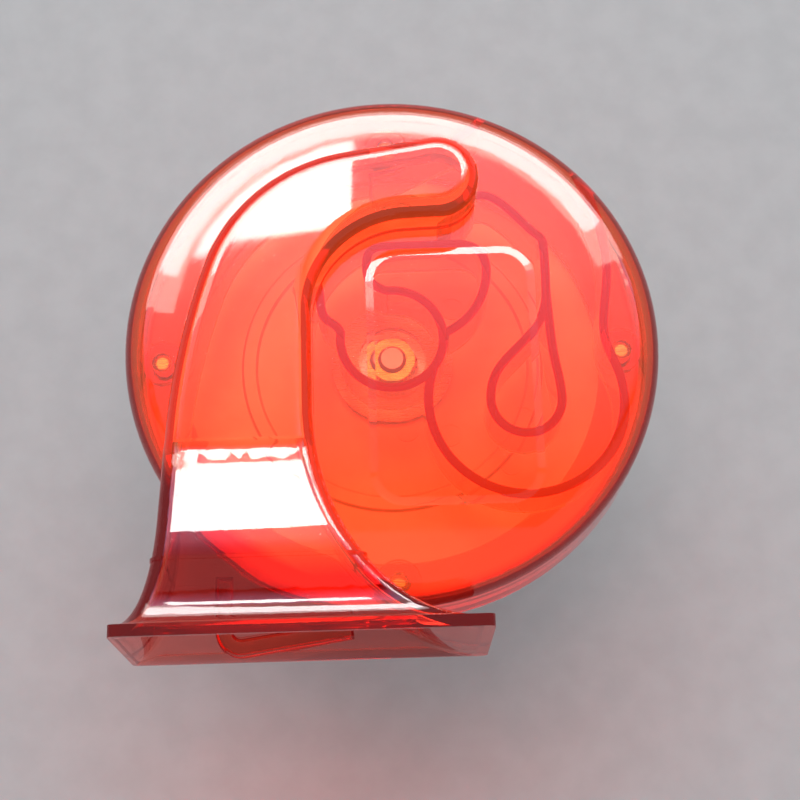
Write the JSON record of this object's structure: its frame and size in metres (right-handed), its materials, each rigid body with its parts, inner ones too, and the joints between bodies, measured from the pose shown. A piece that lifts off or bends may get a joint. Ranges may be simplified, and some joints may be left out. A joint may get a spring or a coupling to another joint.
{
  "type": "electric horn",
  "caption": "Snail-shaped electric signal horn: round clear-plastic sound chamber that coils into a side trumpet with a rectangular mouth, on a stepped steel pot with a strap bracket.",
  "frame": {"origin": "middle of the bracket's fixing hole, on the bracket face that seats on the vehicle", "axes": "+Z along the horn's axis, from the bracket out of the front cover; the trumpet's mouth faces -Y, away from the fixing hole; +X to the right seen from the front"},
  "size_m": [0.094, 0.1132, 0.0714],
  "materials": {
    "red_translucent_plastic": "clear red moulding, high gloss",
    "gasket_fibre": "pale pressed fibre, matt",
    "spring_steel": "satin",
    "pot_steel": "bright zinc plate, satin",
    "bare_steel": "turned",
    "bright_zinc_steel": "bright zinc plate",
    "yellow_zinc_steel": "yellow-passivated zinc plate",
    "bobbin_nylon": "moulded",
    "enamelled_copper": "enamelled wire",
    "phenolic_board": "punched board",
    "spring_bronze": "rolled strip",
    "brass_sheet": "rolled sheet",
    "contact_metal": "ground",
    "black_nylon": "moulded"
  },
  "bodies": {
    "horn_body": {"trumpet_cover": "red_translucent_plastic", "trumpet_base": "red_translucent_plastic", "front_gasket": "gasket_fibre", "diaphragm": "spring_steel", "rear_gasket": "gasket_fibre", "pot": "pot_steel", "flange_screws": "yellow_zinc_steel", "pole_core": "bare_steel", "coil_bobbin": "bobbin_nylon", "coil_winding": "enamelled_copper", "yoke_plate": "bare_steel", "breaker_deck": "bright_zinc_steel", "deck_rivets": "bright_zinc_steel", "lower_insulator": "phenolic_board", "middle_insulator": "phenolic_board", "fixed_contact_arm": "brass_sheet", "top_insulator": "phenolic_board", "stack_bushes": "bobbin_nylon", "stack_rivets": "bright_zinc_steel", "fixed_contact_tip": "contact_metal", "adjusting_screw": "yellow_zinc_steel", "terminal_block": "black_nylon", "terminal_blade_left": "brass_sheet", "terminal_blade_right": "brass_sheet", "terminal_insulator": "phenolic_board", "terminal_rivets": "brass_sheet", "bracket": "bright_zinc_steel", "lock_washer": "bright_zinc_steel", "stud_nut": "bright_zinc_steel"},
    "armature_group": {"armature": "bare_steel", "lower_spreader": "bright_zinc_steel", "upper_spreader": "bright_zinc_steel", "armature_nut": "yellow_zinc_steel"},
    "breaker_lever": {"moving_contact_arm": "spring_bronze", "moving_contact_tip": "contact_metal"}
  },
  "joints": [
    {"name": "armature_stroke", "type": "slide", "parent": "horn_body", "child": "armature_group", "axis": [0, 0, 1], "range_m": [-0.0006, 0], "stiffness_N_per_m": 5000, "springref_m": 0.0003, "deforming": ["diaphragm"]},
    {"name": "breaker_lever_turn", "type": "hinge", "parent": "horn_body", "child": "breaker_lever", "pos_m": [0.0218, -0.05, 0.03308], "axis": [0, 1, 0], "range_deg": [-3.5, 0], "stiffness_Nm_per_rad": 0.00001, "springref_deg": 57.3, "deforming": ["moving_contact_arm"]}
  ],
  "couplings": [
    {"joint": "breaker_lever_turn", "follows": "armature_stroke", "rad_per_m": 97.09}
  ]
}
